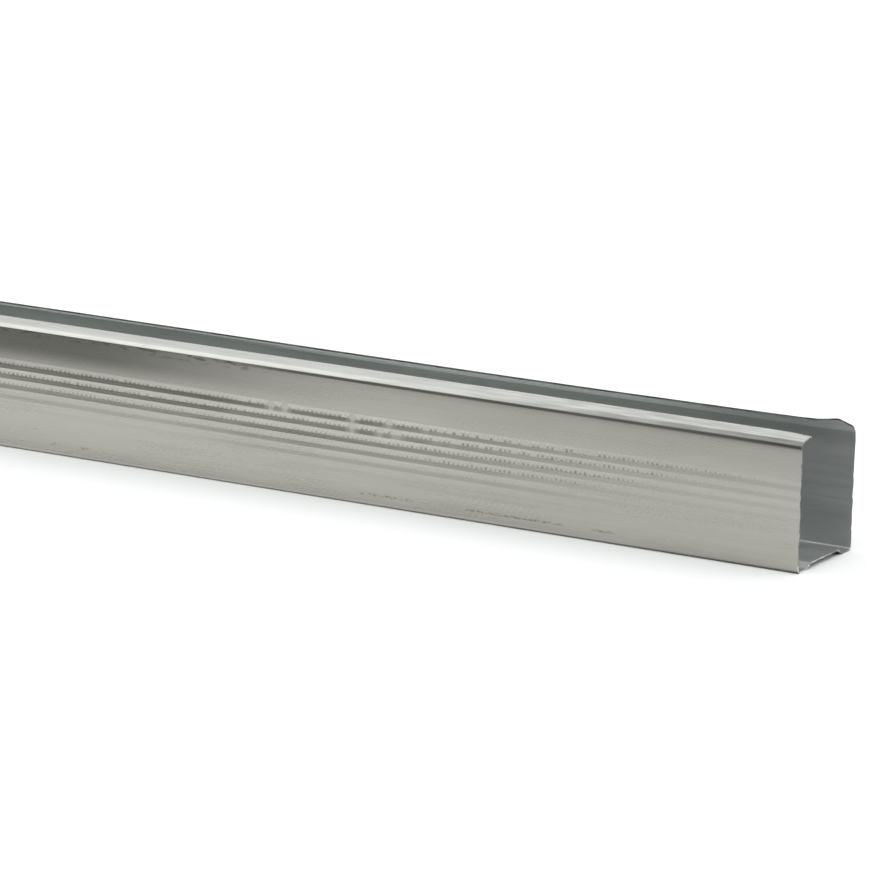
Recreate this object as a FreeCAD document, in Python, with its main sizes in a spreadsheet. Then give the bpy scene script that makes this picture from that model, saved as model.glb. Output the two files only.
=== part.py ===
"""Cold-rolled steel stud for a partition wall: one lipped C section, bent from one strip.

Frame: X runs along the stud, Y across its web, Z up from the web that it lies on.
The origin is at mid length, mid width, on the plane of the web's two feet. Millimetres.
"""
import FreeCAD, Part
import enum
import math
import os

import Sketcher

SIZES = [
    # alias, millimetres (or a count), what it is
    ("stud_length", 2600.0, "length between the two saw-square ends"),
    ("web_width", 43.8, "outside width across the web"),
    ("near_flange", 49.0, "height of the -Y flange, from the feet to its top corner"),
    ("far_flange", 47.0, "height of the +Y flange, lower so that two studs box together"),
    ("strip_gauge", 0.6, "thickness of the strip"),
    ("lip_reach", 6.8, "how far each lip reaches in over the channel"),
    ("lip_rise", 1.6, "how far each lip rises on the way, since it is bent less than square"),
    ("corner_bend", 1.0, "inside radius of the flange and lip corners"),
    ("web_bend", 0.8, "inside radius of the four bends in the web"),
    ("foot_width", 7.2, "flat strip of the web that stands on the floor, beside each flange"),
    ("step_run", 3.4, "width of the slope between a foot and the raised middle of the web"),
    ("step_rise", 1.9, "height of the raised middle of the web above the feet"),
    ("groove_count", 7, "rolled grooves in each flange"),
    ("groove_pitch", 4.0, "distance from one groove to the next"),
    ("groove_start", 9.7, "height of the lowest groove's middle above the feet"),
    ("groove_width", 3.2, "width of a groove at the flange's face"),
    ("groove_depth", 0.25, "depth of a groove below the flange's face"),
]

# closer together than this, two corners of the section are the same one
SAME_CORNER = 1e-4

V = FreeCAD.Vector


class Point(enum.IntEnum):
    """The points of a line or an arc, as a sketch numbers them."""
    START = 1
    END = 2
    CENTRE = 3


class Axis(enum.IntEnum):
    """A sketch's own two axes, as it numbers them. Both start at its origin."""
    ACROSS = -1
    UP = -2


START, END, CENTRE = Point


def make_sheet(doc):
    """Writes the driving sizes to a spreadsheet and returns their values by name."""
    sheet = doc.addObject("Spreadsheet::Sheet", "Sizes")
    for row, (alias, value, meaning) in enumerate(SIZES, start=1):
        sheet.set(f"A{row}", meaning)
        sheet.set(f"B{row}", str(value))
        sheet.setAlias(f"B{row}", alias)
    doc.recompute()
    return {alias: value for alias, value, _ in SIZES}


def cross_plane(body):
    """The body's own YZ plane: a sketch on it has Y across and Z up."""
    return next(f for f in body.Origin.OriginFeatures if f.Role == "YZ_Plane")


def new_sketch(body, name):
    """An empty sketch of the stud's cross-section."""
    sketch = body.newObject("Sketcher::SketchObject", name)
    sketch.AttachmentSupport = [(cross_plane(body), "")]
    sketch.MapMode = "FlatFace"
    return sketch


def bind(sketch, constraint, expression):
    """Adds a dimension to the sketch and ties it to the spreadsheet."""
    index = sketch.addConstraint(constraint)
    sketch.setExpression(f"Constraints[{index}]", expression)


def outside_corners(s):
    """Sharp corners of the strip's outside face, from the near lip's edge round to the far lip's."""
    half = s["web_width"] / 2
    foot = half - s["foot_width"]
    step = foot - s["step_run"]
    return {
        "near_tip": (-half + s["lip_reach"], s["near_flange"] + s["lip_rise"]),
        "near_top": (-half, s["near_flange"]),
        "near_base": (-half, 0.0),
        "near_foot_end": (-foot, 0.0),
        "near_step_top": (-step, s["step_rise"]),
        "far_step_top": (step, s["step_rise"]),
        "far_foot_end": (foot, 0.0),
        "far_base": (half, 0.0),
        "far_top": (half, s["far_flange"]),
        "far_tip": (half - s["lip_reach"], s["far_flange"] + s["lip_rise"]),
    }


def inside_corners(outside, gauge):
    """The outside corners moved in by the strip's thickness, on the left of the way round."""
    names = list(outside)
    points = [V(y, z, 0) for y, z in outside.values()]
    ways = [(b - a).normalize() for a, b in zip(points, points[1:])]
    lefts = [V(-way.y, way.x, 0) for way in ways]
    befores = [lefts[0]] + lefts
    afters = lefts + [lefts[-1]]
    inside = {}
    for name, point, before, after in zip(names, points, befores, afters):
        moved = point + (before + after) * (gauge / (1 + before.dot(after)))
        inside[name] = (moved.x, moved.y)
    return inside


def draw_section(body, s):
    """Sketch of the bent strip with sharp corners: nine straight runs, each with its two faces."""
    sketch = new_sketch(body, "StripSection")
    outside = outside_corners(s)
    inside = inside_corners(outside, s["strip_gauge"])
    corners = list(outside)
    runs = [
        "near_lip", "near_flange", "near_foot", "near_step", "middle",
        "far_step", "far_foot", "far_flange", "far_lip",
    ]

    def add_line(a, b):
        return sketch.addGeometry(Part.LineSegment(V(*a, 0), V(*b, 0)), False)

    outer, inner = {}, {}
    for run, a, b in zip(runs, corners, corners[1:]):
        outer[run] = add_line(outside[a], outside[b])
        inner[run] = add_line(inside[a], inside[b])
    near_edge = add_line(inside["near_tip"], outside["near_tip"])
    far_edge = add_line(outside["far_tip"], inside["far_tip"])

    joined = [(faces[a], END, faces[b], START) for faces in (outer, inner) for a, b in zip(runs, runs[1:])]
    joined += [
        (near_edge, START, inner["near_lip"], START),
        (near_edge, END, outer["near_lip"], START),
        (far_edge, START, outer["far_lip"], END),
        (far_edge, END, inner["far_lip"], END),
    ]
    for ends in joined:
        sketch.addConstraint(Sketcher.Constraint("Coincident", *ends))

    for run in ("near_flange", "far_flange"):
        sketch.addConstraint(Sketcher.Constraint("Vertical", outer[run]))
    for run in ("near_foot", "middle", "far_foot"):
        sketch.addConstraint(Sketcher.Constraint("Horizontal", outer[run]))
    for run in runs:
        sketch.addConstraint(Sketcher.Constraint("Parallel", inner[run], outer[run]))
        gauge = Sketcher.Constraint("Distance", inner[run], START, outer[run], s["strip_gauge"])
        bind(sketch, gauge, "Sizes.strip_gauge")
    sketch.addConstraint(Sketcher.Constraint("Perpendicular", near_edge, outer["near_lip"]))
    sketch.addConstraint(Sketcher.Constraint("Perpendicular", far_edge, outer["far_lip"]))

    feet = (outer["near_foot"], START, outer["far_foot"], END)
    sketch.addConstraint(Sketcher.Constraint("PointOnObject", outer["near_foot"], START, Axis.ACROSS))
    sketch.addConstraint(Sketcher.Constraint("Symmetric", *feet, Axis.UP))

    def span(direction, a, a_end, b, b_end, size):
        dimension = Sketcher.Constraint(direction, outer[a], a_end, outer[b], b_end, s[size])
        bind(sketch, dimension, f"Sizes.{size}")

    def across(*ends_and_size):
        span("DistanceX", *ends_and_size)

    def up(*ends_and_size):
        span("DistanceY", *ends_and_size)

    across("near_foot", START, "far_foot", END, "web_width")
    across("near_foot", START, "near_foot", END, "foot_width")
    across("far_foot", START, "far_foot", END, "foot_width")
    across("near_step", START, "near_step", END, "step_run")
    across("far_step", START, "far_step", END, "step_run")
    up("near_step", START, "near_step", END, "step_rise")
    up("near_flange", END, "near_flange", START, "near_flange")
    up("far_flange", START, "far_flange", END, "far_flange")
    across("near_lip", END, "near_lip", START, "lip_reach")
    across("far_lip", END, "far_lip", START, "lip_reach")
    up("near_lip", END, "near_lip", START, "lip_rise")
    up("far_lip", START, "far_lip", END, "lip_rise")
    return sketch


def pad_along(body, sketch, name):
    """Pads a section to the stud's whole length, half of it each way."""
    pad = body.newObject("PartDesign::Pad", name)
    pad.Profile = sketch
    pad.SideType = "Symmetric"
    pad.setExpression("Length", "Sizes.stud_length")
    return pad


def edges_along(shape, corners):
    """Names of the straight edges that run along X through these corners of the section."""
    names = []
    for number, edge in enumerate(shape.Edges, start=1):
        ends = [vertex.Point for vertex in edge.Vertexes]
        if len(ends) != 2 or abs(ends[0].x - ends[1].x) < SAME_CORNER:
            continue
        for y, z in corners:
            if math.hypot(ends[0].y - y, ends[0].z - z) < SAME_CORNER:
                names.append(f"Edge{number}")
    return names


def bend(body, base, name, corners, radius):
    """Rounds the section's corners along the whole stud."""
    fillet = body.newObject("PartDesign::Fillet", name)
    fillet.Base = (base, edges_along(base.Shape, corners))
    fillet.setExpression("Radius", radius)
    body.Document.recompute()
    return fillet


def bend_corners(body, strip, s):
    """The eight bends: each has an inside radius, and an outside one that is a strip wider."""
    outside = outside_corners(s)
    inside = inside_corners(outside, s["strip_gauge"])
    flange_corners = ("near_top", "near_base", "far_base", "far_top")
    foot_ends = ("near_foot_end", "far_foot_end")
    step_tops = ("near_step_top", "far_step_top")
    hollow_corners = [inside[name] for name in flange_corners]
    round_corners = [outside[name] for name in flange_corners]
    hollow_steps = [inside[name] for name in foot_ends] + [outside[name] for name in step_tops]
    round_steps = [outside[name] for name in foot_ends] + [inside[name] for name in step_tops]

    shape = bend(body, strip, "CornerInsides", hollow_corners, "Sizes.corner_bend")
    shape = bend(body, shape, "CornerOutsides", round_corners, "Sizes.corner_bend + Sizes.strip_gauge")
    shape = bend(body, shape, "WebInsides", hollow_steps, "Sizes.web_bend")
    return bend(body, shape, "WebOutsides", round_steps, "Sizes.web_bend + Sizes.strip_gauge")


GROOVE_RADIUS = (
    "((Sizes.groove_width / 2) ^ 2 + Sizes.groove_depth ^ 2) / (2 * Sizes.groove_depth)"
)


def groove_radius(s):
    """Radius of the arc as wide and as deep as a groove, as GROOVE_RADIUS works it out."""
    return ((s["groove_width"] / 2) ** 2 + s["groove_depth"] ** 2) / (2 * s["groove_depth"])


def draw_grooves(body, s):
    """Sketch of the lowest groove in each flange: a circle that the flange's face cuts."""
    sketch = new_sketch(body, "GrooveRollers")
    radius = groove_radius(s)
    reach = s["web_width"] / 2 + radius - s["groove_depth"]
    for side in (-1, 1):
        centre = V(side * reach, s["groove_start"], 0)
        circle = sketch.addGeometry(Part.Circle(centre, V(0, 0, 1), radius), False)
        bind(sketch, Sketcher.Constraint("Radius", circle, radius), GROOVE_RADIUS)
        bind(
            sketch,
            Sketcher.Constraint("DistanceX", Axis.ACROSS, START, circle, CENTRE, side * reach),
            f"{side} * (Sizes.web_width / 2 + {GROOVE_RADIUS} - Sizes.groove_depth)",
        )
        bind(
            sketch,
            Sketcher.Constraint("DistanceY", Axis.ACROSS, START, circle, CENTRE, s["groove_start"]),
            "Sizes.groove_start",
        )
    return sketch


def draw_ridges(body, s):
    """Sketch of the ridge that each lowest groove raises inside: an arc a strip wider, on its chord."""
    sketch = new_sketch(body, "RidgeBacks")
    radius = groove_radius(s)
    ridge = radius + s["strip_gauge"]
    reach = s["web_width"] / 2 + radius - s["groove_depth"]
    chord = s["web_width"] / 2 - s["strip_gauge"] / 2
    half_angle = math.acos((reach - chord) / ridge)
    for side in (-1, 1):
        centre = V(side * reach, s["groove_start"], 0)
        facing = math.pi if side > 0 else 0.0
        circle = Part.Circle(centre, V(0, 0, 1), ridge)
        arc = Part.ArcOfCircle(circle, facing - half_angle, facing + half_angle)
        back = sketch.addGeometry(arc, False)
        flat = sketch.addGeometry(Part.LineSegment(arc.EndPoint, arc.StartPoint), False)
        sketch.addConstraint(Sketcher.Constraint("Coincident", back, START, flat, END))
        sketch.addConstraint(Sketcher.Constraint("Coincident", back, END, flat, START))
        sketch.addConstraint(Sketcher.Constraint("Vertical", flat))
        bind(sketch, Sketcher.Constraint("Radius", back, ridge), f"{GROOVE_RADIUS} + Sizes.strip_gauge")
        bind(
            sketch,
            Sketcher.Constraint("DistanceX", Axis.ACROSS, START, back, CENTRE, side * reach),
            f"{side} * (Sizes.web_width / 2 + {GROOVE_RADIUS} - Sizes.groove_depth)",
        )
        bind(
            sketch,
            Sketcher.Constraint("DistanceX", Axis.ACROSS, START, flat, START, side * chord),
            f"{side} * (Sizes.web_width / 2 - Sizes.strip_gauge / 2)",
        )
        bind(
            sketch,
            Sketcher.Constraint("DistanceY", Axis.ACROSS, START, back, CENTRE, s["groove_start"]),
            "Sizes.groove_start",
        )
    return sketch


def roll_grooves(body, s):
    """Presses the lowest groove into both flanges and repeats it up their height."""
    doc = body.Document
    ridges = pad_along(body, draw_ridges(body, s), "Ridges")
    doc.recompute()
    grooves = body.newObject("PartDesign::Pocket", "Grooves")
    grooves.Profile = draw_grooves(body, s)
    grooves.SideType = "Symmetric"
    grooves.setExpression("Length", "Sizes.stud_length")
    doc.recompute()
    rows = body.newObject("PartDesign::LinearPattern", "GrooveRows")
    rows.Originals = [ridges, grooves]
    rows.Direction = (grooves.Profile[0], ["V_Axis"])
    rows.Mode = "Spacing"
    rows.setExpression("Offset", "Sizes.groove_pitch")
    rows.setExpression("Occurrences", "Sizes.groove_count")
    body.Tip = rows
    doc.recompute()
    return rows


def make_stud(doc, s):
    """The stud: a padded section, its bends, and the grooves rolled in its flanges."""
    body = doc.addObject("PartDesign::Body", "Stud")
    body.Label = "c_stud"
    strip = pad_along(body, draw_section(body, s), "Strip")
    doc.recompute()
    bend_corners(body, strip, s)
    roll_grooves(body, s)
    body.Placement = FreeCAD.Placement()
    return body


def check(doc, parts):
    """Stops if a feature failed, or a part isn't one valid solid."""
    for feature in doc.Objects:
        if {"Invalid", "Error"} & set(feature.State):
            raise RuntimeError(f"{feature.Label} failed: {feature.State}")
    for part in parts:
        shape = part.Shape
        if shape.isNull() or not shape.isValid() or len(shape.Solids) != 1:
            raise RuntimeError(f"{part.Label} isn't one valid solid")


def main():
    """Builds the document, checks it and writes each part's STEP file."""
    doc = FreeCAD.newDocument("SteelStud")
    parts = [make_stud(doc, make_sheet(doc))]
    doc.recompute()
    check(doc, parts)
    os.makedirs("parts", exist_ok=True)
    for part in parts:
        part.Shape.exportStep(os.path.join("parts", f"{part.Label}.step"))
        box = part.Shape.BoundBox
        print(f"{part.Label}: {part.Shape.Volume:.1f} mm3, {len(part.Shape.Faces)} faces, "
              f"{box.XLength:.2f} x {box.YLength:.2f} x {box.ZLength:.2f} mm")


main()
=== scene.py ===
"""Looks of the lipped C stud: one strip of galvanised steel, rolled, knurled and cut to length.

Metres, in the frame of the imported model: X along the stud, Y across its web, Z up.
"""
import logging
import math
from collections.abc import Mapping
from dataclasses import dataclass, field
from enum import Enum, IntEnum

import bpy
import numpy as np
from mathutils import Matrix, Vector


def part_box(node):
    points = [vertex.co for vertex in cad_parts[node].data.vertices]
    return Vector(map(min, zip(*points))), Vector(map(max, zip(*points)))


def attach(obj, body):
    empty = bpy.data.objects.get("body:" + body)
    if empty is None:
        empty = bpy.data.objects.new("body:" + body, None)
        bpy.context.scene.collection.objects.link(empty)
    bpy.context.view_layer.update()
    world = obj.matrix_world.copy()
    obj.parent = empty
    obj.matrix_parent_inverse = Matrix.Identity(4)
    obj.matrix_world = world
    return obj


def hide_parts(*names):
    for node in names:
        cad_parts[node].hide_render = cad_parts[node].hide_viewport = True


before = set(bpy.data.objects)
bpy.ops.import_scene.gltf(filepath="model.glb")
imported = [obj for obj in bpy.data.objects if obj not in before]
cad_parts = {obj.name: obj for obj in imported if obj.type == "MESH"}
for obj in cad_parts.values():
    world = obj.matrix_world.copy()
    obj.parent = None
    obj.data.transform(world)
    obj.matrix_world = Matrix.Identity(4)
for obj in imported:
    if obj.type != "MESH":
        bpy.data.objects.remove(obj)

bpy.context.view_layer.update()
NODE = "c_stud"
SHADE_AND_GRIME = "shade_and_grime"
MM = 0.001
CLOSE = 1e-6
log = logging.getLogger(NODE)

Colour = tuple[float, float, float]
Patch = tuple[float, float, float]
Pair = tuple[float, float]
Run = tuple[float, ...]
# What Signal.ramp takes: from, to, and the results there.
Ramp = tuple[float, float, float, float]


def mm(*lengths: float) -> Run:
    """Turns millimetres into metres.

    Args:
        lengths: Lengths in millimetres.

    Returns:
        The same lengths in metres.
    """
    return tuple(length * MM for length in lengths)


class Signal:
    """A number that changes over a surface: an output socket with arithmetic."""

    def __init__(self, graph: "Graph", socket: bpy.types.NodeSocket) -> None:
        """Wraps a socket.

        Args:
            graph: The graph that the socket's node is in.
            socket: The output socket.
        """
        self.graph = graph
        self.socket = socket

    def _math(self, operation: str, *values: "Signal | float") -> "Signal":
        """A Math node on these values, in this order."""
        return self.graph.node("ShaderNodeMath", {"operation": operation}, dict(enumerate(values)))

    def __add__(self, other: "Signal | float") -> "Signal":
        """self + other."""
        return self._math("ADD", self, other)

    __radd__ = __add__

    def __mul__(self, other: "Signal | float") -> "Signal":
        """self * other."""
        return self._math("MULTIPLY", self, other)

    __rmul__ = __mul__

    def __sub__(self, other: "Signal | float") -> "Signal":
        """self - other."""
        return self._math("SUBTRACT", self, other)

    def __rsub__(self, other: float) -> "Signal":
        """other - self."""
        return self._math("SUBTRACT", other, self)

    def __abs__(self) -> "Signal":
        """The size of the number without its sign."""
        return self._math("ABSOLUTE", self)

    def ramp(self, low: float, high: float, start: float = 0.0, end: float = 1.0) -> "Signal":
        """Eases from start to end as the number goes from low to high.

        Args:
            low: Where the change starts.
            high: Where it ends.
            start: The result at low and below.
            end: The result at high and above.

        Returns:
            The eased number.
        """
        settings = {"interpolation_type": "SMOOTHSTEP"}
        sockets = {"Value": self, "From Min": low, "From Max": high, "To Min": start, "To Max": end}
        return self.graph.node("ShaderNodeMapRange", settings, sockets)


class Graph:
    """A node tree that is filled from code."""

    def __init__(self, tree: bpy.types.NodeTree) -> None:
        """Empties the tree and keeps it.

        Args:
            tree: The node tree of a material or a world.
        """
        self.tree = tree
        tree.nodes.clear()

    def node(
        self,
        kind: str,
        settings: Mapping[str, object],
        sockets: Mapping[int | str, object],
        output: int | str = 0,
    ) -> Signal:
        """Adds a node.

        Args:
            kind: The node's type.
            settings: The node's own settings, such as a Math node's operation.
            sockets: The values or links of its input sockets, by name or number.
            output: Which output is wanted.

        Returns:
            That output.
        """
        made = self.tree.nodes.new(kind)
        for name, value in settings.items():
            setattr(made, name, value)
        for name, value in sockets.items():
            if isinstance(value, Signal):
                self.tree.links.new(value.socket, made.inputs[name])
            else:
                made.inputs[name].default_value = value
        return Signal(self, made.outputs[output] if made.outputs else None)

    def coordinate(self, axis: str) -> Signal:
        """How far a point of the object is along an axis, in millimetres."""
        here = self.node("ShaderNodeTexCoord", {}, {}, "Object")
        return self.node("ShaderNodeSeparateXYZ", {}, {"Vector": here}, axis) * (1 / MM)

    def facing(self, axis: str) -> Signal:
        """How far the surface faces along an axis, -1 to 1."""
        normal = self.node("ShaderNodeTexCoord", {}, {}, "Normal")
        return self.node("ShaderNodeSeparateXYZ", {}, {"Vector": normal}, axis)

    def attribute(self, name: str) -> Signal:
        """A number that the mesh carries in each vertex."""
        return self.node("ShaderNodeAttribute", {"attribute_name": name}, {}, "Fac")

    def noise(self, patch: Patch, detail: float = 2.0, shift: float = 0.0) -> Signal:
        """Cloudy noise, 0 to 1.

        Args:
            patch: About how long its patches are along X, Y and Z, in millimetres.
            detail: How much finer noise is laid over it.
            shift: Moves it, so that two of one size differ.

        Returns:
            The noise.
        """
        here = self.node("ShaderNodeTexCoord", {}, {}, "Object")
        scale = tuple(1 / (MM * size) for size in patch)
        sockets = {"Vector": here, "Scale": scale, "Location": (shift, shift, shift)}
        place = self.node("ShaderNodeMapping", {}, sockets)
        sockets = {"Vector": place, "Scale": 1.0, "Detail": detail}
        return self.node("ShaderNodeTexNoise", {}, sockets)

    def mix(self, share: Signal, low: "Signal | Colour", high: "Signal | Colour") -> Signal:
        """Blends two colours.

        Args:
            share: How much of high is in the result, 0 to 1.
            low: The colour where share is 0.
            high: The colour where it is 1.

        Returns:
            The blended colour.
        """
        factor, colour_a, colour_b, blend = 0, 6, 7, 2
        ends = {colour_a: low, colour_b: high}
        sockets = {n: end if isinstance(end, Signal) else (*end, 1.0) for n, end in ends.items()}
        return self.node("ShaderNodeMix", {"data_type": "RGBA"}, {factor: share, **sockets}, blend)

    def scale(self, colour: Signal, by: Signal) -> Signal:
        """A colour made brighter or darker by a number."""
        sockets = {0: colour, "Scale": by}
        return self.node("ShaderNodeVectorMath", {"operation": "SCALE"}, sockets)

    def bump(self, height: Signal, distance: float) -> Signal:
        """The normal of a relief whose height goes from 0 to 1 over a distance in metres."""
        sockets = {"Strength": 1.0, "Distance": distance, "Height": height}
        return self.node("ShaderNodeBump", {}, sockets)

    def surface(self, sockets: Mapping[str, object]) -> None:
        """Ends the graph with a surface that has these inputs."""
        shader = self.node("ShaderNodeBsdfPrincipled", {}, sockets)
        self.node("ShaderNodeOutputMaterial", {}, {"Surface": shader})


def new_material(name: str) -> tuple[bpy.types.Material, Graph]:
    """Makes an empty material.

    Args:
        name: Its name.

    Returns:
        The material and its graph.
    """
    made = bpy.data.materials.new(name)
    made.use_nodes = True
    return made, Graph(made.node_tree)


@dataclass(frozen=True)
class ZincFinish:
    """Galvanised face of the strip: dull zinc with rolling lines, clouds and light scuffs.

    Places, patches and runs from the stud's end are in millimetres.
    """

    half_length: float
    name: str
    bright: Colour
    dull: Colour
    metallic: float
    roughness: Pair
    lines_patch: Patch = (90.0, 0.5, 0.5)
    lines_share: float = 0.35
    rough_lines: Ramp = (0.3, 0.7, -0.03, 0.03)
    lines_relief: float = 0.7
    clouds_patch: Patch = (45.0, 14.0, 9.0)
    clouds_share: float = 0.5
    rough_clouds: Pair = (0.25, 0.75)
    grain_patch: Patch = (0.5, 0.5, 0.5)
    grain_share: float = 0.15
    grain_relief: float = 0.3
    relief_depth: float = 0.002 * MM
    contrast: Pair = (0.3, 0.7)
    handled_patch: Patch = (200.0, 30.0, 30.0)
    handled_gain: Ramp = (0.2, 0.8, 0.96, 1.04)
    scuff: float = 0.5
    scuff_patch: Patch = (5.0, 0.5, 0.5)
    scuff_contrast: Pair = (0.72, 0.8)
    scuffed_patch: Patch = (30.0, 6.0, 6.0)
    scuffed_contrast: Pair = (0.55, 0.7)
    # Dark colour of scuffs and soiling, and of painted shade in the dents.
    dirt_and_shade: Colour = (0.08, 0.075, 0.065)

    def material(self) -> bpy.types.Material:
        """Builds the finish.

        Returns:
            The material.
        """
        made, graph = new_material(self.name)
        lines = graph.noise(self.lines_patch, detail=1.0)
        clouds = graph.noise(self.clouds_patch, detail=3.0)
        grain = graph.noise(self.grain_patch)
        shade = lines.ramp(*self.contrast) * self.lines_share
        shade = shade + clouds.ramp(*self.contrast) * self.clouds_share + grain * self.grain_share
        colour = self.tint(graph, graph.mix(shade, self.dull, self.bright))
        colour = graph.scale(colour, self.wear_and_painted_light(graph))
        rough = clouds.ramp(*self.rough_clouds, *self.roughness)
        relief = lines * self.lines_relief + grain * self.grain_relief
        graph.surface(
            {
                "Base Color": graph.mix(self.scuffs_and_dent_shade(graph), colour, self.dirt_and_shade),
                "Metallic": self.metallic,
                "Roughness": rough + lines.ramp(*self.rough_lines),
                "Normal": graph.bump(relief, self.relief_depth),
            }
        )
        return made

    def tint(self, graph: Graph, colour: Signal) -> Signal:
        """The zinc's own colour."""
        return colour

    def wear_and_painted_light(self, graph: Graph) -> Signal:
        """How much brighter or darker the zinc is for its handling."""
        return graph.noise(self.handled_patch, detail=1.0).ramp(*self.handled_gain)

    def scuffs_and_dent_shade(self, graph: Graph) -> Signal:
        """Scatters short scuffs over some patches of the face.

        Args:
            graph: The material's graph.

        Returns:
            How dark they are, 0 to 1.
        """
        marks = graph.noise(self.scuff_patch, detail=1.0).ramp(*self.scuff_contrast)
        where = graph.noise(self.scuffed_patch, detail=1.0).ramp(*self.scuffed_contrast)
        return marks * where * self.scuff

    def from_end(self, graph: Graph) -> Signal:
        """How far a place is from the stud's nearer end."""
        return self.half_length - abs(graph.coordinate("X"))


@dataclass(frozen=True)
class InnerZinc(ZincFinish):
    """Inside of the strip: greyer and lighter as painted light, with painted shade on the web and
    towards the cut ends.
    """

    name: str = "zinc_inside"
    # Lighter and cooler than the outside zinc of the same strip: painted light and a painted colour
    # cast of the light inside the strip.
    bright: Colour = (0.645, 0.665, 0.65)
    dull: Colour = (0.565, 0.582, 0.568)
    metallic: float = 0.70
    roughness: Pair = (0.42, 0.52)
    scuff: float = 0.2
    # Painted shade towards the cut ends.
    end_darkening: Ramp = (-20.0, 110.0, 0.57, 1.0)
    # Painted shade on the upward-facing web.
    web_shade: Ramp = (0.78, 0.88, 1.0, 0.80)
    # Lighter towards the walls' feet.
    feet_gain: Ramp = (4.0, 30.0, 1.15, 1.0)
    # Painted light on the lips' undersides, stronger away from the ends.
    lip_facing: Ramp = (-0.35, -0.05, 1.0, 0.0)
    lip_gain: Ramp = (20.0, 300.0, 1.5, 3.3)

    def wear_and_painted_light(self, graph: Graph) -> Signal:
        """Paints shade on the web and the ends, lightens the walls' feet and paints light on the
        lips' undersides.

        Args:
            graph: The material's graph.

        Returns:
            How much brighter or darker the zinc is.
        """
        from_end = self.from_end(graph)
        facing = graph.facing("Z")
        ends = from_end.ramp(*self.end_darkening)
        web = facing.ramp(*self.web_shade)
        low = graph.coordinate("Z").ramp(*self.feet_gain)
        lip = 1 + facing.ramp(*self.lip_facing) * (from_end.ramp(*self.lip_gain) - 1)
        return super().wear_and_painted_light(graph) * ends * web * low * lip


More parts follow.
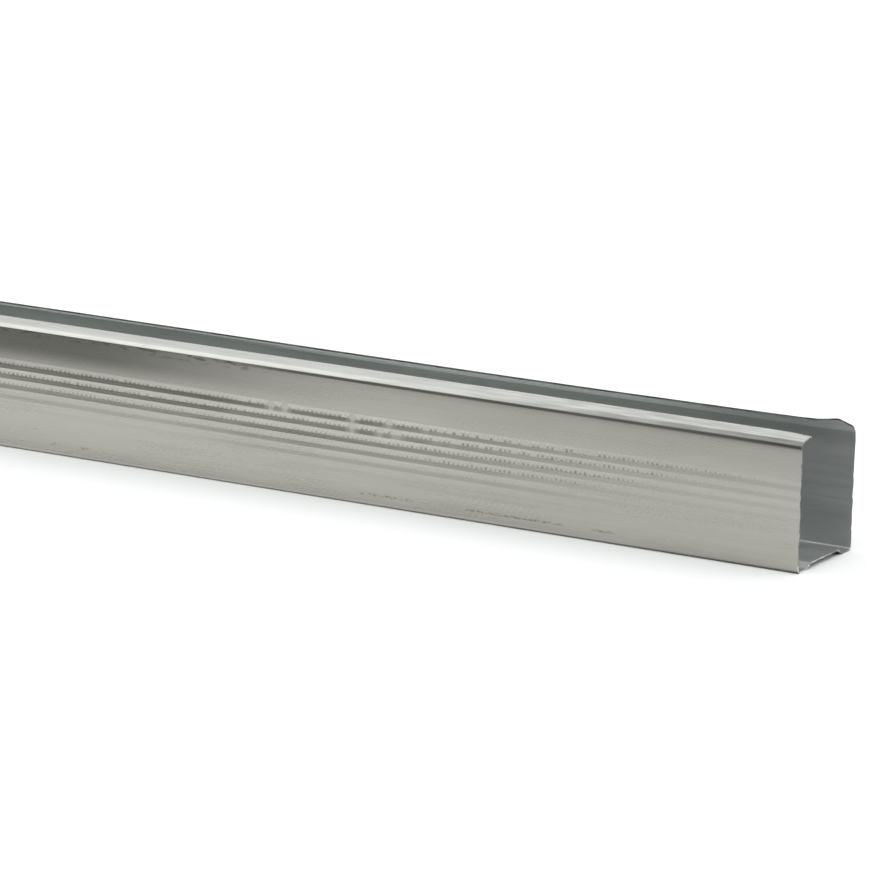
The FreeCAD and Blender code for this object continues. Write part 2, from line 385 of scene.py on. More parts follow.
@dataclass(frozen=True)
class OuterZinc(ZincFinish):
    """Outside of the strip: painted highlights on its bends and painted shade up its flanges."""

    name: str = "zinc_outside"
    bright: Colour = (0.47, 0.455, 0.415)
    dull: Colour = (0.39, 0.38, 0.345)
    metallic: float = 0.92
    roughness: Pair = (0.26, 0.34)
    flank_facing: Pair = (0.7, 0.9)
    # Painted shade: the flanges lighter low down and darker towards the top.
    height_shade: Ramp = (25.0, 47.0, 1.04, 0.80)
    end_darkening: Ramp = (40.0, 270.0, 0.92, 1.0)
    # Painted highlight on the grooves' downward-facing walls, growing away from the end and dimmed
    # low down.
    slope_facing: Ramp = (-0.26, -0.06, 1.0, 0.0)
    slope_gain: Ramp = (0.0, 130.0, 0.93, 1.24)
    low_slope_dimming: Ramp = (20.0, 30.0, 0.955, 1.0)
    # Painted shade in the pressed band under the lips.
    crease_facing: Pair = (0.1, 0.2)
    crease_height: Pair = (45.6, 46.4)
    crease_shade_depth: Ramp = (5.0, 60.0, 0.6, 0.42)
    # Painted shade high on the shown flange, some way from the end.
    upper_shade_share: float = 0.34
    upper_shade_start: Pair = (170.0, 320.0)
    upper_shade_end: Ramp = (420.0, 640.0, 1.0, 0.0)
    upper_shade_height: Pair = (31.0, 42.0)
    upper_shade_off_slopes: float = 0.25
    # Painted highlight along the bends, turning to painted shade at the ends.
    bend_facing: Pair = (0.3, 0.48)
    painted_crest_gain: Ramp = (-60.0, 260.0, 0.35, 1.33)
    streak_patch: Patch = (16.0, 1.4, 1.4)
    streak_facing: Pair = (0.2, 0.5)
    streak_gain: Ramp = (0.3, 0.7, -0.22, 0.08)
    streak_fade: Ramp = (60.0, 220.0, 1.0, 0.35)
    # Painted cooler reflection tint on the lips.
    lip_facing: Pair = (0.3, 0.7)
    lip_reflection_colour: Colour = (0.43, 0.428, 0.407)
    lip_share: float = 0.8
    scrapes: tuple[Pair, ...] = ((76, 85), (98, 139), (162, 185), (307, 311), (320, 325))
    scrape_blend: float = 1.0
    scrape_height: float = 4.4
    scrape_width: Ramp = (0.3, 0.6, 1.0, 0.0)
    scrape_share: float = 0.5
    speck_patch: Patch = (1.3, 0.5, 0.5)
    speck_contrast: Pair = (0.46, 0.56)
    smudge_patch: Patch = (5.0, 1.2, 1.2)
    smudge_contrast: Pair = (0.5, 0.62)
    smudge_height: Pair = (44.5, 46.5)
    smudge_facing: Pair = (0.95, 0.99)
    smudge_start: Pair = (215.0, 240.0)
    smudge_end: Ramp = (340.0, 380.0, 1.0, 0.0)
    smudge_share: float = 0.75
    # Painted shade and soiling in the dents and along the grooves' lower walls.
    shade_and_grime_contrast: Pair = (0.35, 0.8)
    shade_and_grime_share: float = 0.56
    shown_y: Ramp = (-21.0, -20.0, 1.0, 0.0)
    shown_x: Pair = (500.0, 600.0)

    def wear_and_painted_light(self, graph: Graph) -> Signal:
        """Paints shade on the flanges and highlights on the bends, and streaks the lips.

        Args:
            graph: The material's graph.

        Returns:
            How much brighter or darker the zinc is.
        """
        from_end = self.from_end(graph)
        flank = abs(graph.facing("Y")).ramp(*self.flank_facing)
        # Painted highlight along the bends, turning to painted shade at the ends.
        bent = abs(graph.facing("Y") * graph.facing("Z")).ramp(*self.bend_facing)
        painted_crest = from_end.ramp(*self.painted_crest_gain)
        plain = 1 + flank * (self._flange(graph) - 1)
        streaks = graph.noise(self.streak_patch, shift=9.0).ramp(*self.streak_gain)
        streaks = streaks * graph.facing("Z").ramp(*self.streak_facing)
        streaks = streaks * from_end.ramp(*self.streak_fade)
        return (plain * (1 - bent) + bent * painted_crest) * (1 + streaks)

    def _flange(self, graph: Graph) -> Signal:
        """Paints shade on a flange towards its top, in a patch high up and in its crease, and
        highlights on its grooves.

        Args:
            graph: The material's graph.

        Returns:
            How much brighter or darker the zinc of a flange is.
        """
        height = graph.coordinate("Z")
        facing = graph.facing("Z")
        from_end = self.from_end(graph)
        slope = facing.ramp(*self.slope_facing)
        wall = height.ramp(*self.height_shade) * from_end.ramp(*self.end_darkening)
        # Painted highlight on the grooves' downward-facing walls.
        slope_highlight = from_end.ramp(*self.slope_gain) * height.ramp(*self.low_slope_dimming)
        wall = wall + slope * (slope_highlight - wall)
        # Painted shade high on the shown flange.
        upper_shade = from_end.ramp(*self.upper_shade_start) * from_end.ramp(*self.upper_shade_end)
        upper_shade = upper_shade * height.ramp(*self.upper_shade_height) * self._shown(graph)
        upper_shade = upper_shade * (1 - slope * self.upper_shade_off_slopes)
        # Painted shade in the pressed band under the lips.
        pressed = facing.ramp(*self.crease_facing) * height.ramp(*self.crease_height)
        pressed = pressed * from_end.ramp(*self.crease_shade_depth)
        return wall * (1 - upper_shade * (1 - self.upper_shade_share)) * (1 - pressed)

    def tint(self, graph: Graph, colour: Signal) -> Signal:
        """The zinc's own colour, with a painted cooler reflection tint on the lips."""
        lip = graph.facing("Z").ramp(*self.lip_facing) * self.lip_share
        return graph.mix(lip, colour, self.lip_reflection_colour)

    def scuffs_and_dent_shade(self, graph: Graph) -> Signal:
        """Scrapes a dotted line low on the flange, smudges it under the lip and darkens the dents
        with painted shade and soiling.

        Args:
            graph: The material's graph.

        Returns:
            How dark they and the scattered scuffs are, 0 to 1.
        """
        height, from_end, blend = graph.coordinate("Z"), self.from_end(graph), self.scrape_blend
        scraped = sum(
            from_end.ramp(start - blend, start + blend)
            * from_end.ramp(end - blend, end + blend, 1.0, 0.0)
            for start, end in self.scrapes
        )
        specks = graph.noise(self.speck_patch, detail=1.0, shift=3.0).ramp(*self.speck_contrast)
        line = abs(height - self.scrape_height).ramp(*self.scrape_width) * scraped * specks
        smudges = graph.noise(self.smudge_patch, detail=3.0, shift=5.0)
        smudges = smudges.ramp(*self.smudge_contrast) * height.ramp(*self.smudge_height)
        smudges = smudges * abs(graph.facing("Y")).ramp(*self.smudge_facing)
        smudges = smudges * from_end.ramp(*self.smudge_start) * from_end.ramp(*self.smudge_end)
        marks = (line * self.scrape_share + smudges * self.smudge_share) * self._shown(graph)
        # Painted shade and soiling in the dents and along the grooves' lower walls.
        dents = graph.attribute(SHADE_AND_GRIME).ramp(*self.shade_and_grime_contrast) * self.shade_and_grime_share
        return super().scuffs_and_dent_shade(graph) + marks + dents

    def _shown(self, graph: Graph) -> Signal:
        """1 on the flange and towards the end that the photo shows, 0 elsewhere."""
        near = graph.coordinate("Y").ramp(*self.shown_y)
        return near * graph.coordinate("X").ramp(*self.shown_x)


@dataclass(frozen=True)
class ShearedEdge:
    """Cut edge of the strip: bare steel with fine tear lines, and painted shade on the far side.
    Places are in millimetres.
    """

    name: str = "sheared_edge"
    bright: Colour = (0.36, 0.36, 0.352)
    dull: Colour = (0.11, 0.11, 0.107)
    metallic: float = 0.8
    roughness: float = 0.45
    tear_patch: Patch = (8.0, 1.6, 1.6)
    tear_contrast: Pair = (0.35, 0.65)
    tear_depth: float = 0.05 * MM
    # Painted shade on the far side's cut edges.
    far_side_shade: Ramp = (-18.0, 18.0, 1.0, 0.4)
    web_gain: Ramp = (2.6, 3.4, 2.6, 1.0)
    slit_gain: Ramp = (0.3, 0.7, 1.5, 1.0)

    def material(self) -> bpy.types.Material:
        """Builds the finish.

        Returns:
            The material.
        """
        made, graph = new_material(self.name)
        tears = graph.noise(self.tear_patch, detail=3.0)
        # Painted shade on the far side's cut edges.
        side = graph.coordinate("Y").ramp(*self.far_side_shade)
        side = side * graph.coordinate("Z").ramp(*self.web_gain)
        slit = abs(graph.facing("X")).ramp(*self.slit_gain)
        colour = graph.mix(tears.ramp(*self.tear_contrast), self.dull, self.bright)
        graph.surface(
            {
                "Base Color": graph.scale(colour, side * slit),
                "Metallic": self.metallic,
                "Roughness": self.roughness,
                "Normal": graph.bump(tears, self.tear_depth),
            }
        )
        return made


class Face(IntEnum):
    """Which finish a face takes: the numbers are the stud's material slots."""

    OUTSIDE = 0
    INSIDE = 1
    CUT = 2


class Mark(Enum):
    """What a line along the stud's outside face bounds."""

    PLAIN = "plain face or bend"
    UPPER_EDGE = "upper edge of a groove"
    FOOT = "top of a groove's lower wall, where its dents start"
    LOWER_EDGE = "lower edge of a groove"


@dataclass(frozen=True)
class SectionPoint:
    """A point of the strip's middle line, with the way out through its outside face."""

    y: float
    z: float
    out_y: float
    out_z: float
    row: int = -1
    mark: Mark = Mark.PLAIN

    @property
    def grooved(self) -> bool:
        """Whether the point is on a groove."""
        return self.mark is not Mark.PLAIN


@dataclass(frozen=True)
class Crease:
    """Band under a lip's bend that the rollers pressed in, deepest at the near end."""

    below_top: float = 1.27 * MM
    height: float = 1.05 * MM
    blend: float = 0.08 * MM
    turn_height: float = 0.55 * MM
    turn_depth: float = 0.38 * MM
    places: Run = mm(0, 80, 130, 190, 270)
    depths: Run = mm(0.36, 0.30, 0.28, 0.30, 0.035)

    def lines(self, top: float) -> list[float]:
        """Heights of the band's lines, under a straight run that ends at top."""
        foot = top - self.height
        return [foot, foot + self.blend, top - self.blend, top]

    def sink(self, z: float, flange: float, from_end: np.ndarray) -> np.ndarray:
        """How far the strip is pressed in.

        Args:
            z: The height of the place.
            flange: The height of its flange.
            from_end: How far it is from the near end.

        Returns:
            The depth at each place.
        """
        top = flange - self.below_top
        share = min(max((z - top + self.height) / self.height, 0.0), 1.0)
        turned = min(max((z - top) / self.turn_height, 0.0), 1.0)
        return share * np.interp(from_end, self.places, self.depths) + turned * self.turn_depth


@dataclass(frozen=True)
class Groove:
    """Profile of one rolled groove: a lower wall, and a row of dents above it."""

    lower_edge: float = -2.6 * MM
    foot: float = -1.0 * MM
    tip: float = -0.5 * MM
    upper_edge: float = 1.3 * MM
    wall_depth: float = 0.43 * MM
    dent_depth: float = 0.11 * MM

    def lines(self) -> list[tuple[float, Mark]]:
        """Lists the groove's lines.

        Returns:
            How far each is above the groove's middle, and its mark.
        """
        return [
            (self.lower_edge, Mark.LOWER_EDGE),
            (self.foot, Mark.FOOT),
            (self.upper_edge, Mark.UPPER_EDGE),
        ]


@dataclass(frozen=True)
class Section:
    """The bent strip's cross-section, from the near lip's edge round to the far lip's."""

    width: float
    near_flange: float = 49.0 * MM
    far_flange: float = 47.0 * MM
    gauge: float = 0.6 * MM
    lip_reach: float = 6.8 * MM
    lip_rise: float = 1.6 * MM
    corner_bend: float = 1.0 * MM
    web_bend: float = 0.8 * MM
    foot: float = 7.2 * MM
    step_run: float = 3.4 * MM
    step_rise: float = 1.9 * MM
    groove: Groove = Groove()
    rows: int = 7
    row_pitch: float = 4.0 * MM
    lowest_row: float = 9.7 * MM
    crease: Crease = Crease()
    bend_steps: int = 6
    plain_step: float = 3.0 * MM

    def outside_corners(self) -> list[tuple[Vector, float]]:
        """Lists the corners of the outside face, as if its bends were sharp.

        Returns:
            Each corner, with the middle line's radius in its bend.
        """
        half = self.width / 2
        foot, step = half - self.foot, half - self.foot - self.step_run
        corner = self.corner_bend + self.gauge / 2
        web = self.web_bend + self.gauge / 2
        near, far = (
            [
                (Vector((side * (half - self.lip_reach), flange + self.lip_rise)), 0.0),
                (Vector((side * half, flange)), corner),
                (Vector((side * half, 0.0)), corner),
                (Vector((side * foot, 0.0)), web),
                (Vector((side * step, self.step_rise)), web),
            ]
            for side, flange in ((-1, self.near_flange), (1, self.far_flange))
        )
        return [*near, *reversed(far)]

    def points(self) -> list[SectionPoint]:
        """Walks along the strip's middle line.

        Returns:
            Its points, from the near lip's edge to the far lip's.
        """
        corners, radii = zip(*self.outside_corners())
        ways = [(b - a).normalized() for a, b in zip(corners, corners[1:])]
        lefts = [Vector((-way.y, way.x)) for way in ways]
        middle = [
            corner + (before + after) * (self.gauge / 2 / (1 + before.dot(after)))
            for corner, before, after in zip(corners, [lefts[0], *lefts], [*lefts, lefts[-1]])
        ]
        made: list[SectionPoint] = []
        start = middle[0]
        for way, onward, corner, radius in zip(ways, ways[1:], middle[1:], radii[1:]):
            turn = math.atan2(way.cross(onward), way.dot(onward))
            setback = radius * math.tan(abs(turn) / 2)
            made += self._straight(start, corner - way * setback)
            made += self._bend(corner - way * setback, way, turn, radius)
            start = corner + onward * setback
        made += self._straight(start, middle[-1])
        return [*made, SectionPoint(*middle[-1], ways[-1].y, -ways[-1].x)]

    def _straight(self, start: Vector, end: Vector) -> list[SectionPoint]:
        """Points of a straight run of the middle line, without its last one.

        Args:
            start: Where the run starts.
            end: Where it ends.

        Returns:
            The run's points, with a flange's grooves among them.
        """
        length = (end - start).length
        way = (end - start) / length
        out = (way.y, -way.x)
        flange = abs(way.x) < CLOSE
        if not flange:
            steps = max(1, round(length / self.plain_step))
            return [SectionPoint(*(start + way * (length * n / steps)), *out) for n in range(steps)]
        rows = [self.lowest_row + n * self.row_pitch for n in range(self.rows)]
        bottom, top = sorted((start.y, end.y))
        above = rows[-1] + self.groove.upper_edge
        below = rows[0] + self.groove.lower_edge
        crease = self.crease.lines(top)
        steps = round((crease[0] - above) / self.plain_step)
        plain = [bottom, (bottom + below) / 2, *crease]
        plain += [above + (crease[0] - above) * (n + 1) / steps for n in range(steps - 1)]
        made = [SectionPoint(start.x, z, *out) for z in plain]
        made += [
            SectionPoint(start.x, middle + off, *out, row, mark)
            for row, middle in enumerate(rows)
            for off, mark in self.groove.lines()
        ]
        made.sort(key=lambda point: point.z * way.y)
        return made[:-1]

    def _bend(self, start: Vector, way: Vector, turn: float, radius: float) -> list[SectionPoint]:
        """Points of a bend of the middle line, without its last one.

        Args:
            start: Where the bend starts.
            way: The way the strip goes there.
            turn: How far it turns, in radians, to the left if positive.
            radius: The middle line's radius.

        Returns:
            The bend's points.
        """
        side = math.copysign(1.0, turn)
        inward = Vector((-way.y, way.x)) * side
        steps = max(2, round(self.bend_steps * abs(turn) / (math.pi / 2)))
        made = []
        for step in range(steps):
            spoke = Matrix.Rotation(turn * step / steps, 2) @ -inward
            made.append(SectionPoint(*(start + (inward + spoke) * radius), *(spoke * side)))
        return made


def ease(share: np.ndarray) -> np.ndarray:
    """Smooths a step.

    Args:
        share: How far along the step each place is.

    Returns:
        0 before the step, 1 after it and a soft slope between.
    """
    share = np.clip(share, 0.0, 1.0)
    return share * share * (3 - 2 * share)


@dataclass(frozen=True)
class Knurling:
    """How deep each row's roller bit: unevenly where the photo shows it, and plainly beyond."""

    rows: int
    shown: Run = mm(370, 520)
    plain_bite: float = 0.6
    plain_dents: float = 0.5
    bite_places: Run = mm(0, 50, 80, 120, 150, 175)
    bite_limits: Run = (0.42, 0.46, 0.52, 0.64, 0.80, 1.0)
    bite_lean: float = 0.025
    full_bite: float = 1.16
    least_bite: float = 0.1
    lean: float = 0.15
    lean_gain: float = 0.06
    lean_run: Run = mm(210, 290)
    reach_places: Run = mm(0, 45, 95, 145, 170, 220, 270, 320)
    reach_rows: Run = (1.6, 2.8, 5.0, 5.8, 7.3, 7.5, 5.3, 4.1)
    reach_strengths: Run = (0.5, 0.65, 1.0, 0.85, 0.72, 0.65, 0.6, 0.8)
    reach_slopes: Run = (0.4, 0.4, 0.4, 0.35, 0.16, 0.15, 0.3, 0.4)
    least_dent: float = 0.04
    drift_places: Run = mm(0, 60, 150, 270, 330, 370, 520)
    drifts: Run = mm(-0.2, -0.1, 0, 0.2, 0.5, 0.5, 0)
    sag_places: Run = mm(40, 110, 210, 260)
    sags: Run = mm(0, -0.35, -0.45, 0)
    # How dark the dents and the lower walls' tops are: painted shade and soiling.
    darkened_chance: float = 0.35
    darkened_gain: float = 0.8
    darkened_share: float = 0.7
    darkened_spread: float = 0.3
    faint_share: float = 0.1
    wall_dirt_and_shade: float = 0.58
    wall_dirt_and_shade_lean: float = 0.16
    least_wall_dirt_and_shade: float = 0.08
    wall_dirt_and_shade_bites: Pair = (0.5, 0.9)
    worn_run: Run = mm(150, 200)
    worn_bites: Pair = (0.72, 0.42)
    worn_dents: float = 0.25
    worn: tuple[tuple[Pair, ...], ...] = (
        ((84, 94), (98, 102), (106, 108), (112, 116), (118, 120), (124, 128), (130, 134),
         (136, 138), (142, 144), (146, 148), (150, 152), (156, 158), (172, 174), (188, 190),
         (218, 220), (224, 226)),
        ((110, 112), (118, 120), (126, 128), (132, 134), (142, 146), (152, 154), (168, 172),
         (176, 178), (188, 190)),
    )

    def bite(self, row: int, from_end: np.ndarray) -> np.ndarray:
        """How deep a row's lower wall is, as a share of the full depth.

        Args:
            row: The groove's row, from the lowest up.
            from_end: How far each place is from the near end.

        Returns:
            The share at each place.
        """
        down = self.rows - 1 - row
        limit = np.interp(from_end, self.bite_places, self.bite_limits)
        start, end = self.lean_run
        lean = self.lean + self.lean_gain * ease((from_end - start) / (end - start))
        strong = self.full_bite - lean * down
        strong = np.clip(strong, self.least_bite, limit - self.bite_lean * down)
        worn = np.interp(from_end, self.worn_run, self.worn_bites)
        bite = np.where(self._is_worn(down, from_end), np.minimum(strong, worn), strong)
        return self._settle(bite, self.plain_bite, from_end)

    def dents(self, row: int, from_end: np.ndarray) -> np.ndarray:
        """How deep a row's dents are, as a share of the full depth.

        Args:
            row: The groove's row, from the lowest up.
            from_end: How far each dent is from the near end.

        Returns:
            The share of each dent.
        """
        down = self.rows - 1 - row
        reach = np.interp(from_end, self.reach_places, self.reach_rows)
        slope = np.interp(from_end, self.reach_places, self.reach_slopes)
        strong = np.clip((reach - down) * slope, self.least_dent, 1.0)
        strong = strong * np.interp(from_end, self.reach_places, self.reach_strengths)
        dents = np.where(self._is_worn(down, from_end), self.worn_dents * strong, strong)
        return self._settle(dents, self.plain_dents, from_end)

    def shade_and_grime(self, row: int, from_end: np.ndarray, chance: np.ndarray) -> np.ndarray:
        """How dark a row's dents are: painted shade and soiling.

        Args:
            row: The groove's row, from the lowest up.
            from_end: How far each dent is from the near end.
            chance: A random number for each dent, 0 to 1.

        Returns:
            The share of each dent.
        """
        share = self.dents(row, from_end)
        is_darkened = chance < self.darkened_chance + self.darkened_gain * share
        darkened = self.darkened_share + self.darkened_spread * chance
        return np.sqrt(share) * np.where(is_darkened, darkened, self.faint_share)

    def wall_shade_and_grime(self, row: int, from_end: np.ndarray) -> np.ndarray:
        """How dark the top of a row's lower wall is: painted shade and soiling.

        Args:
            row: The groove's row, from the lowest up.
            from_end: How far each place is from the near end.

        Returns:
            The share at each place.
        """
        down = self.rows - 1 - row
        least, most = self.wall_dirt_and_shade_bites
        bite = np.clip((self.bite(row, from_end) - least) / (most - least), 0.0, 1.0)
        return self.wall_dirt_and_shade * max(1 - self.wall_dirt_and_shade_lean * down, self.least_wall_dirt_and_shade) * bite

    def drift(self, row: int, from_end: np.ndarray) -> np.ndarray:
        """How far a row runs above its true height.

        Args:
            row: The groove's row, from the lowest up.
            from_end: How far each place is from the near end.

        Returns:
            The height at each place.
        """
        sag = np.interp(from_end, self.sag_places, self.sags) if row == self.rows - 1 else 0.0
        return np.interp(from_end, self.drift_places, self.drifts) + sag

    def _settle(self, shares: np.ndarray, plain: float, from_end: np.ndarray) -> np.ndarray:
        """Shares that settle at a plain one past the stretch that the photo shows."""
        start, end = self.shown
        return shares + (plain - shares) * ease((from_end - start) / (end - start))

    def _is_worn(self, down: int, place: np.ndarray) -> np.ndarray:
        """Whether the roller's teeth are worn at places.

        Args:
            down: The row, counted from the top one down.
            place: How far each place is from the near end.

        Returns:
            True or False for each place.
        """
        stretches = [mm(*stretch) for stretch in self.worn[down]] if down < len(self.worn) else []
        hits = [(place > start - CLOSE) & (place < end + CLOSE) for start, end in stretches]
        return np.logical_or.reduce(hits) if hits else np.zeros(place.shape, bool)


@dataclass(frozen=True)
class Distortion:
    """What rolling, the saw and handling did to the true section."""

    half_length: float
    section: Section
    flare_length: float = 16.0 * MM
    nip_length: float = 9.0 * MM
    splay: float = 0.5 * MM
    near_lift: float = -0.35 * MM
    far_places: Run = mm(0, 4, 6, 8, 12, 20, 30, 44, 60, 100, 140, 250, 340, 520)
    far_lifts: Run = mm(2.2, 1.9, 1.8, 1.6, 1.1, 0.85, 0.75, 0.6, 0.5, 0.2, 0, -0.1, 0.1, 0)
    far_nip: float = 3.6 * MM
    nick: float = 0.22 * MM
    nick_across: float = 1.3 * MM
    nick_up: float = 0.9 * MM
    wave: float = 0.05 * MM
    long_wave: float = 61.0 * MM
    long_lean: float = 3.0
    short_wave: float = 27.0 * MM
    short_lean: float = 4.0
    short_share: float = 0.6
    lip_from: float = 0.9

    def apply(self, point: SectionPoint, x: np.ndarray) -> tuple[np.ndarray, ...]:
        """Moves a point of the middle line to where the real strip lies.

        Args:
            point: The point of the true section.
            x: Where along the stud it is wanted.

        Returns:
            Its X, Y and Z at each x.
        """
        section = self.section
        near = point.y < 0
        side = -1.0 if near else 1.0
        top = section.near_flange if near else section.far_flange
        from_end = self.half_length - x
        flare = ease(1 - from_end / self.flare_length)
        height = min(point.z / top, 1.0)
        inward = max((section.width / 2 - abs(point.y)) / section.lip_reach, 0.0)
        lip = inward if height > self.lip_from else 0.0
        sway = np.sin(x / self.long_wave + self.long_lean * height + side)
        sway = sway + self.short_share * np.sin(x / self.short_wave - self.short_lean * height)
        out = flare * self.splay * height**2 + self.wave * height * sway
        out = out - section.crease.sink(point.z, top, from_end)
        nip = ease(1 - from_end / self.nip_length)
        far_lift = np.interp(from_end, self.far_places, self.far_lifts)
        z = point.z + lip * (nip * self.near_lift if near else far_lift)
        torn = math.sin(point.z / self.nick_up + point.y / self.nick_across) ** 2
        nick = self.nick * torn * (np.abs(x) > self.half_length - CLOSE)
        short = nick if near else nick + lip * nip * self.far_nip
        return x - np.sign(x) * short, point.y + side * out, z


@dataclass(frozen=True)
class Line:
    """One line of the mesh along the stud: its stations and its first vertex's number."""

    x: np.ndarray
    first: int

    def at(self, station: int) -> int:
        """The number of the vertex at a station."""
        return self.first + station


@dataclass
class Stud:
    """The whole stud: one closed mesh of the strip, grooved and knurled."""

    low: Vector
    high: Vector
    knurl_pitch: float = 2.0 * MM
    station_step: float = 40.0 * MM
    burr_depth: float = 0.4 * MM
    end_stations: Run = mm(2, 4, 6, 8, 12, 16, 20, 30, 44)
    sharp_from: float = 35.0
    least_dent: float = 0.65
    dent_spread: float = 0.5
    decimals: int = 9
    seed: int = 7
    vertices: list[np.ndarray] = field(default_factory=list)
    faces: list[tuple[int, ...]] = field(default_factory=list)
    kinds: list[Face] = field(default_factory=list)
    flat: list[bool] = field(default_factory=list)
    shade_and_grime: dict[int, np.ndarray] = field(default_factory=dict)
    count: int = 0

    def __post_init__(self) -> None:
        """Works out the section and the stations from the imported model's box."""
        self.half = (self.high.x - self.low.x) / 2
        self.section = Section(width=self.high.y - self.low.y)
        self.distortion = Distortion(self.half, self.section)
        self.knurling = Knurling(self.section.rows)
        self.random = np.random.default_rng(self.seed)
        inner = self.half - self.burr_depth
        every = round(self.half / self.knurl_pitch)
        fine = np.arange(-every + 1, every) * self.knurl_pitch
        self.fine = np.concatenate(([-self.half, -inner], fine, [inner, self.half]))
        near_end = [round((self.half - at) / self.knurl_pitch) for at in self.end_stations]
        ends = [self.half, inner, *(step * self.knurl_pitch for step in near_end)]
        cells = math.floor(ends[-1] / self.station_step)
        inside = np.arange(-cells, cells + 1) * self.station_step
        coarse = np.concatenate((-np.array(ends), inside, ends))
        coarse = np.unique(np.round(coarse, self.decimals))
        self.coarse = coarse[np.isin(coarse, np.round(self.fine, self.decimals))]

    def build(self) -> bpy.types.Object:
        """Makes the mesh and its object.

        Returns:
            The stud, not yet dressed.
        """
        points = self.section.points()
        outer = [self._outer_line(point) for point in points]
        inner = [self._inner_line(point) for point in points]
        for n, (before, after) in enumerate(zip(points, points[1:])):
            marks = {before.mark, after.mark}
            if marks == {Mark.UPPER_EDGE, Mark.FOOT}:
                self._dents(outer[n], outer[n + 1], before)
            else:
                wall = marks == {Mark.FOOT, Mark.LOWER_EDGE}
                self._bridge(outer[n], outer[n + 1], Face.OUTSIDE, wall)
            self._bridge(inner[n + 1], inner[n], Face.INSIDE)
        self._bridge(inner[0], outer[0], Face.CUT)
        self._bridge(outer[-1], inner[-1], Face.CUT)
        for n in range(len(points) - 1):
            ring = [outer[n], outer[n + 1], inner[n + 1], inner[n]]
            self._face([line.first for line in reversed(ring)], Face.CUT, True)
            self._face([line.at(len(line.x) - 1) for line in ring], Face.CUT, True)
        mesh = bpy.data.meshes.new("rolled_stud")
        mesh.from_pydata(np.concatenate(self.vertices), [], self.faces)
        mesh.polygons.foreach_set("material_index", [int(kind) for kind in self.kinds])
        mesh.set_sharp_from_angle(angle=math.radians(self.sharp_from))
        mesh.polygons.foreach_set("use_smooth", [not flat for flat in self.flat])
        # Painted shade and soiling of the dents and the lower walls' tops, kept in each vertex.
        dirt_and_shade = np.zeros(self.count, dtype=np.float32)
        for first, shares in self.shade_and_grime.items():
            dirt_and_shade[first:first + len(shares)] = shares
        mesh.attributes.new(SHADE_AND_GRIME, "FLOAT", "POINT").data.foreach_set("value", dirt_and_shade)
        mesh.update()
        made = bpy.data.objects.new("rolled_stud", mesh)
        bpy.context.scene.collection.objects.link(made)
        triangles = sum(len(corners) - 2 for corners in self.faces)
        log.info("rolled_stud: %d vertices, %d triangles", self.count, triangles)
        return made

    def dress(self, piece: bpy.types.Object) -> None:
        """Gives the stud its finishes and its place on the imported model.

        Args:
            piece: The stud's object.
        """
        half_length = self.half / MM
        for finish in (OuterZinc(half_length), InnerZinc(half_length), ShearedEdge()):
            piece.data.materials.append(finish.material())
        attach(piece, "root")
        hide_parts(NODE)

    def _outer_line(self, point: SectionPoint) -> Line:
        """Adds a line of the outside face, which goes in along a groove's foot.

        Args:
            point: Where the line crosses the section.

        Returns:
            The line.
        """
        x = self.fine if point.grooved else self.coarse
        line = self._line(point, x, self.section.gauge / 2, self._sink(point, x))
        # Painted shade and soiling along the top of the groove's lower wall.
        if point.mark is Mark.FOOT:
            self.shade_and_grime[line.first] = self.knurling.wall_shade_and_grime(point.row, self.half - x)
        return line

    def _inner_line(self, point: SectionPoint) -> Line:
        """Adds a line of the inside face, where the grooves stand out as ridges.

        Args:
            point: Where the line crosses the section.

        Returns:
            The line.
        """
        ridge = self._sink(point, self.coarse)
        rise = -self.section.groove.foot if point.mark is Mark.FOOT else 0.0
        return self._line(point, self.coarse, -self.section.gauge / 2, ridge, rise)

    def _sink(self, point: SectionPoint, x: np.ndarray) -> np.ndarray:
        """How far a groove goes in at a point of its section.

        Args:
            point: The point.
            x: Where along the stud it is wanted.

        Returns:
            The depth at each x.
        """
        if point.mark is not Mark.FOOT:
            return np.zeros_like(x)
        return self.section.groove.wall_depth * self.knurling.bite(point.row, self.half - x)

    def _line(
        self, point: SectionPoint, x: np.ndarray, off: float, sink: np.ndarray, rise: float = 0.0
    ) -> Line:
        """Adds the vertices of one line along the stud.

        Args:
            point: Where the line crosses the section.
            x: The line's stations.
            off: How far it is from the strip's middle, towards the outside face.
            sink: How far it goes in at each station.
            rise: How far it lies above the point.

        Returns:
            The line.
        """
        moved, y, z = self.distortion.apply(point, x)
        y = y + point.out_y * (off - sink)
        z = z + point.out_z * (off - sink) + rise
        if point.grooved:
            z = z + self.knurling.drift(point.row, self.half - x)
        line = Line(x, self.count)
        self.vertices.append(np.column_stack((moved, y, z)))
        self.count += len(x)
        return line

    def _face(self, corners: list[int], kind: Face, flat: bool = False) -> None:
        """Adds one face.

        Args:
            corners: Its vertices, anticlockwise seen from outside the strip.
            kind: The finish it takes.
            flat: Whether it is shaded flat.
        """
        self.faces.append(tuple(corners))
        self.kinds.append(kind)
        self.flat.append(flat)

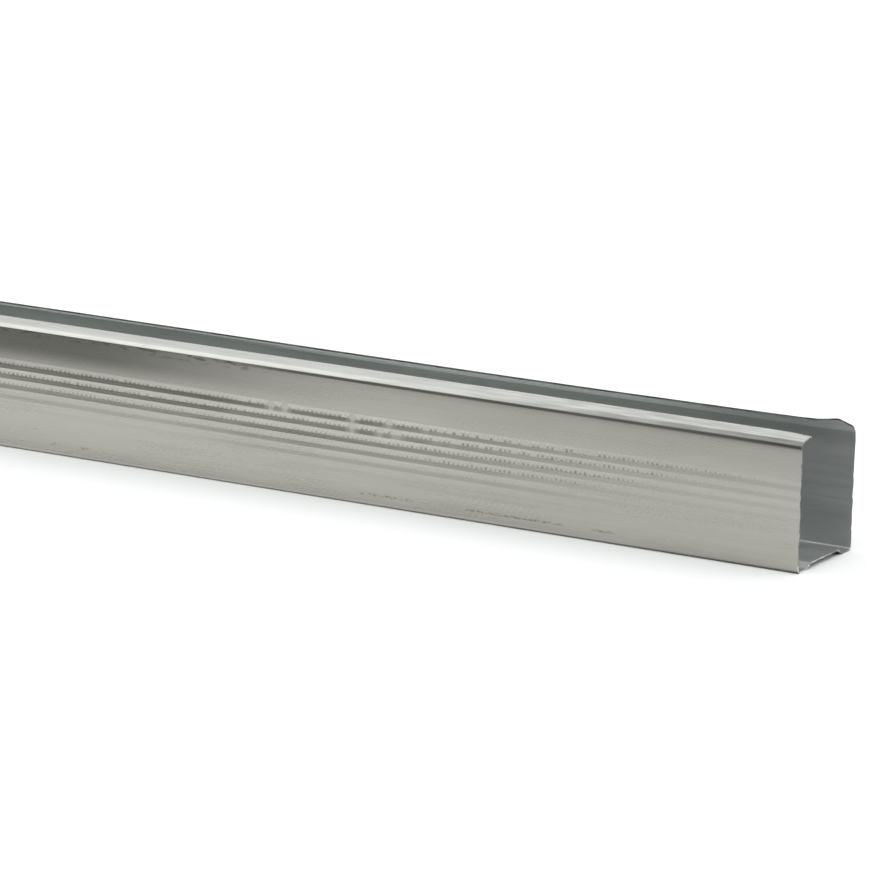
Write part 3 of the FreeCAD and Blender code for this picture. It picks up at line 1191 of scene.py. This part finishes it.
    def _bridge(self, a: Line, b: Line, kind: Face, flat: bool = False) -> None:
        """Joins two lines, of which one may have more stations.

        Args:
            a: The line that comes first round the section.
            b: The next one.
            kind: The finish of the faces.
            flat: Whether they are shaded flat.
        """
        if len(a.x) == len(b.x):
            for n in range(len(a.x) - 1):
                self._face([a.at(n), a.at(n + 1), b.at(n + 1), b.at(n)], kind, flat)
            return
        many, few, flip = (a, b, False) if len(a.x) > len(b.x) else (b, a, True)
        marks = np.searchsorted(many.x, few.x - CLOSE)
        for n, (start, end) in enumerate(zip(marks, marks[1:])):
            half = (start + end) // 2
            fan = [[many.at(k), many.at(k + 1), few.at(n)] for k in range(start, half)]
            fan.append([many.at(half), few.at(n + 1), few.at(n)])
            fan += [[many.at(k), many.at(k + 1), few.at(n + 1)] for k in range(half, end)]
            for corners in fan:
                self._face(corners[::-1] if flip else corners, kind)

    def _dents(self, a: Line, b: Line, point: SectionPoint) -> None:
        """Fills a groove with a dent in each pitch, between its foot and its upper edge.

        Args:
            a: The line that comes first round the section.
            b: The next one.
            point: The point of the first line.
        """
        groove = self.section.groove
        cells = len(a.x) - 1
        middle = (a.x[:-1] + a.x[1:]) / 2
        rise = groove.tip - (groove.foot if point.mark is Mark.FOOT else groove.upper_edge)
        wall = groove.wall_depth * self.knurling.bite(point.row, self.half - a.x)
        dents = groove.dent_depth * self.knurling.dents(point.row, self.half - middle)
        uneven = self.least_dent + self.dent_spread * self.random.random(cells)
        depth = (wall[:-1] + wall[1:]) / 2 + dents * uneven
        tips = self._line(point, middle, self.section.gauge / 2, depth, rise)
        # Painted shade and soiling in each dent.
        chance = self.random.random(cells)
        self.shade_and_grime[tips.first] = self.knurling.shade_and_grime(point.row, self.half - middle, chance)
        for n in range(cells):
            ring = [a.at(n), a.at(n + 1), b.at(n + 1), b.at(n)]
            for start, end in zip(ring, ring[1:] + ring[:1]):
                self._face([start, end, tips.at(n)], Face.OUTSIDE, True)


@dataclass(frozen=True)
class Studio:
    """Pale floor under an even soft light from above, in a dim room."""

    floor_half: float = 60.0
    floor_colour: Colour = (0.90, 0.90, 0.895)
    overhead: Colour = (1.56, 1.60, 1.60)
    room: Colour = (0.20, 0.20, 0.20)
    horizon: Colour = (0.9, 0.9, 0.9)
    canopy_from: float = 24.0
    canopy_full: float = 32.0
    horizon_glow: float = 4.4
    glow_fade: float = 1.2

    def build(self) -> None:
        """Makes the floor, of matt pale paper, and the light."""
        mesh = bpy.data.meshes.new("floor")
        far = self.floor_half
        corners = [(-far, -far, 0), (far, -far, 0), (far, far, 0), (-far, far, 0)]
        mesh.from_pydata(corners, [], [(0, 1, 2, 3)])
        paper, graph = new_material("pale_floor")
        colour = (*self.floor_colour, 1.0)
        graph.surface({"Base Color": colour, "Roughness": 1.0, "Specular IOR Level": 0.0})
        mesh.materials.append(paper)
        floor = bpy.data.objects.new("floor", mesh)
        bpy.context.scene.collection.objects.link(floor)
        self._light()

    def _light(self) -> None:
        """The soft light from above, which fades into the dim room over a pale horizon."""
        world = bpy.data.worlds.new("studio")
        bpy.context.scene.world = world
        world.use_nodes = True
        graph = Graph(world.node_tree)
        way = graph.node("ShaderNodeTexCoord", {}, {}, "Generated")
        up = graph.node("ShaderNodeSeparateXYZ", {}, {"Vector": way}, "Z")
        angles = (self.canopy_from, self.canopy_full, self.horizon_glow)
        low, full, glow = (math.sin(math.radians(angle)) for angle in angles)
        colour = graph.mix(up.ramp(low, full), self.room, self.overhead)
        colour = graph.mix(abs(up).ramp(glow, self.glow_fade * glow), self.horizon, colour)
        light = graph.node("ShaderNodeBackground", {}, {"Color": colour, "Strength": 1.0})
        graph.node("ShaderNodeOutputWorld", {}, {"Surface": light})


@dataclass(frozen=True)
class PhotoCamera:
    """The photograph's camera, recovered from the stud's edges and the spacing of its knurling."""

    frame_px: float = 880.0
    focal_px: float = 5990.1
    yaw: float = 29.626
    pitch: float = 13.164
    roll: float = 1.360
    distance: float = 2175.95 * MM
    corner_px: Pair = (797.75, 574.6)
    sensor: float = 36.0

    def build(self, corner: Vector) -> None:
        """Places the camera.

        Args:
            corner: The stud's lower corner at its near end, which shows at corner_px.
        """
        yaw, pitch, roll = (math.radians(angle) for angle in (self.yaw, self.pitch, self.roll))
        level = Vector((-math.sin(yaw), math.cos(yaw), 0))
        right = Vector((math.cos(yaw), math.sin(yaw), 0))
        up = Vector((0, 0, 1))
        ahead = level * math.cos(pitch) - up * math.sin(pitch)
        lifted = up * math.cos(pitch) + level * math.sin(pitch)
        across = right * math.cos(roll) + lifted * math.sin(roll)
        upward = lifted * math.cos(roll) - right * math.sin(roll)
        half = self.frame_px / 2
        per_px = self.distance / self.focal_px
        to_right = (self.corner_px[0] - half) * per_px
        to_top = (half - self.corner_px[1]) * per_px
        eye = corner - (across * to_right + upward * to_top + ahead * self.distance)
        data = bpy.data.cameras.new("photo_camera")
        data.sensor_width = self.sensor
        data.lens = self.sensor * self.focal_px / self.frame_px
        camera = bpy.data.objects.new("photo_camera", data)
        turned = Matrix((across, upward, -ahead)).transposed().to_4x4()
        camera.matrix_world = Matrix.Translation(eye) @ turned
        bpy.context.scene.collection.objects.link(camera)
        bpy.context.scene.camera = camera


def write_sizes() -> None:
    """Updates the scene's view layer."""
    bpy.context.view_layer.update()


def main() -> None:
    """Builds the camera, the studio and the stud."""
    logging.basicConfig(level=logging.INFO, format="%(name)s: %(message)s")
    scene = bpy.context.scene
    scene.view_settings.view_transform = "Standard"
    low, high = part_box(NODE)
    PhotoCamera().build(Vector((high.x, low.y, low.z)))
    Studio().build()
    stud = Stud(low, high)
    stud.dress(stud.build())
    write_sizes()


if __name__ == "__main__":
    main()
